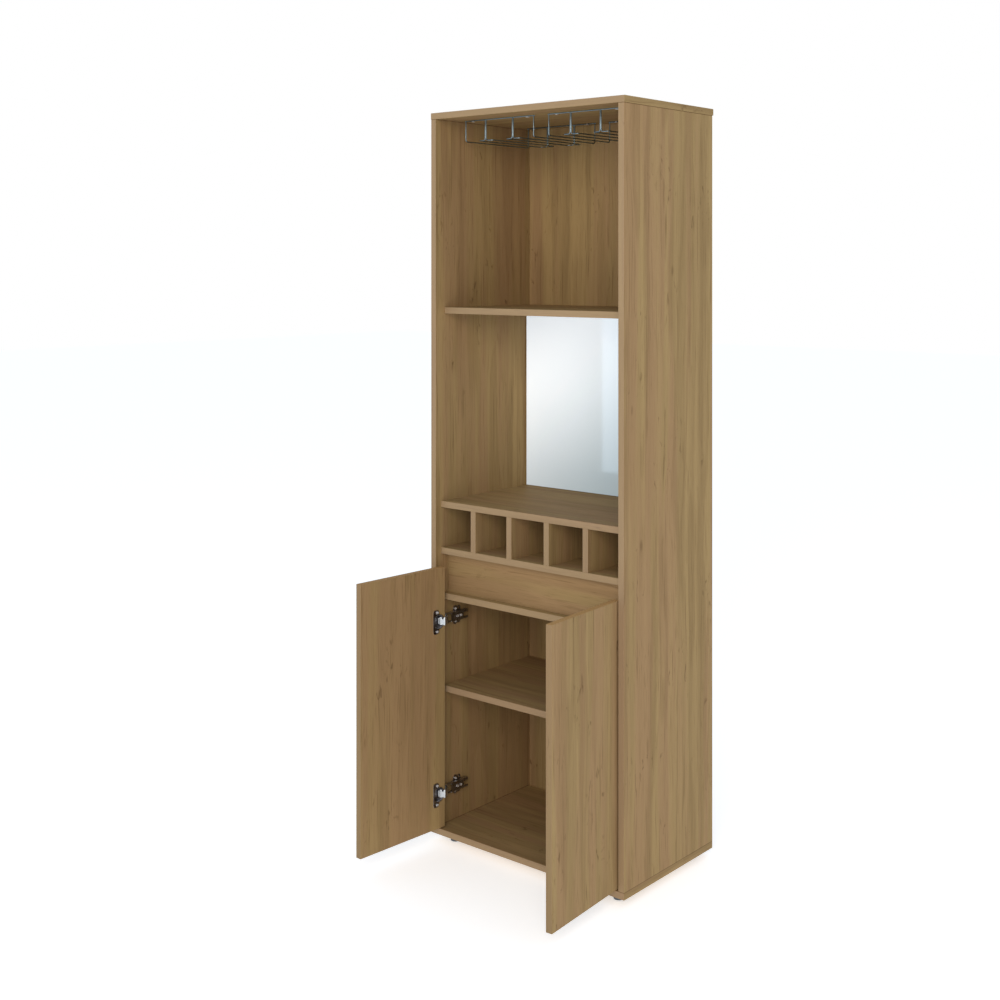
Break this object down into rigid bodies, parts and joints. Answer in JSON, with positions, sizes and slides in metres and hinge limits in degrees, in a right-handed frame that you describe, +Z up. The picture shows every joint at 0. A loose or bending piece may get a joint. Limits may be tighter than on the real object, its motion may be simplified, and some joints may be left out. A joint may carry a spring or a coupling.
{
  "type": "wine cabinet",
  "caption": "Tall narrow wine cabinet with hanging glass racks, an open shelf, a mirrored niche with a counter, a row of bottle cubbies and a two-door cupboard on round glides.",
  "frame": {"origin": "on the floor, midway across the width and midway along the depth of the box round the cabinet with its doors open", "axes": "+Z up, the open front faces -Y, +X to the right seen from the front"},
  "size_m": [0.6024, 0.6498, 1.858],
  "materials": {
    "oak_laminate": "matt brown-grey oak laminate on board",
    "thin_back_laminate": "matt oak laminate on thin board",
    "mirror_glass": "silvered float glass",
    "foam_tape": "foam mounting tape",
    "hinge_steel": "nickel-plated pressed steel",
    "nickel_link": "bright nickel plate",
    "zinc_steel": "zinc-plated steel",
    "zinc_casting": "zinc die casting",
    "beech_dowel": "plain beech",
    "rack_wire": "chromed round wire",
    "glide_plastic": "dark blue-grey moulded plastic"
  },
  "bodies": {
    "root": {"arm_screws": "zinc_steel", "back_panel_nails": "zinc_steel", "bottle_divider_1": "oak_laminate", "bottle_divider_2": "oak_laminate", "bottle_divider_3": "oak_laminate", "bottle_divider_4": "oak_laminate", "bottle_rack_floor": "oak_laminate", "bottom_panel": "oak_laminate", "cam_bolts": "zinc_steel", "cam_locks": "zinc_casting", "counter_shelf": "oak_laminate", "cupboard_shelf": "oak_laminate", "cupboard_top": "oak_laminate", "dowels": "beech_dowel", "front_left_foot": "glide_plastic", "front_right_foot": "glide_plastic", "hinge_pins": "zinc_steel", "left_lower_hinge_arm": "hinge_steel", "left_lower_mounting_plate": "hinge_steel", "left_side_panel": "oak_laminate", "left_stemware_rack": "rack_wire", "left_upper_hinge_arm": "hinge_steel", "left_upper_mounting_plate": "hinge_steel", "lower_back_panel": "thin_back_laminate", "middle_back_board": "oak_laminate", "mirror": "mirror_glass", "mirror_tape_strips": "foam_tape", "mounting_plate_screws": "zinc_steel", "rack_screws": "zinc_steel", "rear_left_foot": "glide_plastic", "rear_right_foot": "glide_plastic", "recess_panel": "oak_laminate", "right_lower_hinge_arm": "hinge_steel", "right_lower_mounting_plate": "hinge_steel", "right_side_panel": "oak_laminate", "right_stemware_rack": "rack_wire", "right_upper_hinge_arm": "hinge_steel", "right_upper_mounting_plate": "hinge_steel", "shelf_pins": "zinc_steel", "top_panel": "oak_laminate", "upper_back_panel": "thin_back_laminate", "upper_shelf": "oak_laminate"},
    "left_door": {"left_cup_screws": "zinc_steel", "left_door": "oak_laminate", "left_lower_hinge_cup": "hinge_steel", "left_upper_hinge_cup": "hinge_steel"},
    "left_lower_link": {"left_lower_hinge_link": "nickel_link"},
    "left_upper_link": {"left_upper_hinge_link": "nickel_link"},
    "right_door": {"right_cup_screws": "zinc_steel", "right_door": "oak_laminate", "right_lower_hinge_cup": "hinge_steel", "right_upper_hinge_cup": "hinge_steel"},
    "right_lower_link": {"right_lower_hinge_link": "nickel_link"},
    "right_upper_link": {"right_upper_hinge_link": "nickel_link"}
  },
  "joints": [
    {"name": "left_door_swing", "type": "hinge", "parent": "root", "child": "left_door", "pos_m": [-0.274, -0.0524, 0.3718], "axis": [0, 0, 1], "range_deg": [-1, 94]},
    {"name": "left_lower_link_turn", "type": "hinge", "parent": "root", "child": "left_lower_link", "pos_m": [-0.278, -0.0279, 0.128], "axis": [0, 0, 1], "range_deg": [-0.5, 42.8]},
    {"name": "left_upper_link_turn", "type": "hinge", "parent": "root", "child": "left_upper_link", "pos_m": [-0.278, -0.0279, 0.566], "axis": [0, 0, 1], "range_deg": [-0.5, 42.8]},
    {"name": "right_door_swing", "type": "hinge", "parent": "root", "child": "right_door", "pos_m": [0.274, -0.0524, 0.3718], "axis": [0, 0, 1], "range_deg": [-94, 1]},
    {"name": "right_lower_link_turn", "type": "hinge", "parent": "root", "child": "right_lower_link", "pos_m": [0.278, -0.0279, 0.128], "axis": [0, 0, 1], "range_deg": [-42.8, 0.5]},
    {"name": "right_upper_link_turn", "type": "hinge", "parent": "root", "child": "right_upper_link", "pos_m": [0.278, -0.0279, 0.566], "axis": [0, 0, 1], "range_deg": [-42.8, 0.5]}
  ],
  "couplings": [
    {"joint": "left_lower_link_turn", "follows": "left_door_swing", "ratio": 0.45},
    {"joint": "left_upper_link_turn", "follows": "left_door_swing", "ratio": 0.45},
    {"joint": "right_lower_link_turn", "follows": "right_door_swing", "ratio": 0.45},
    {"joint": "right_upper_link_turn", "follows": "right_door_swing", "ratio": 0.45}
  ]
}
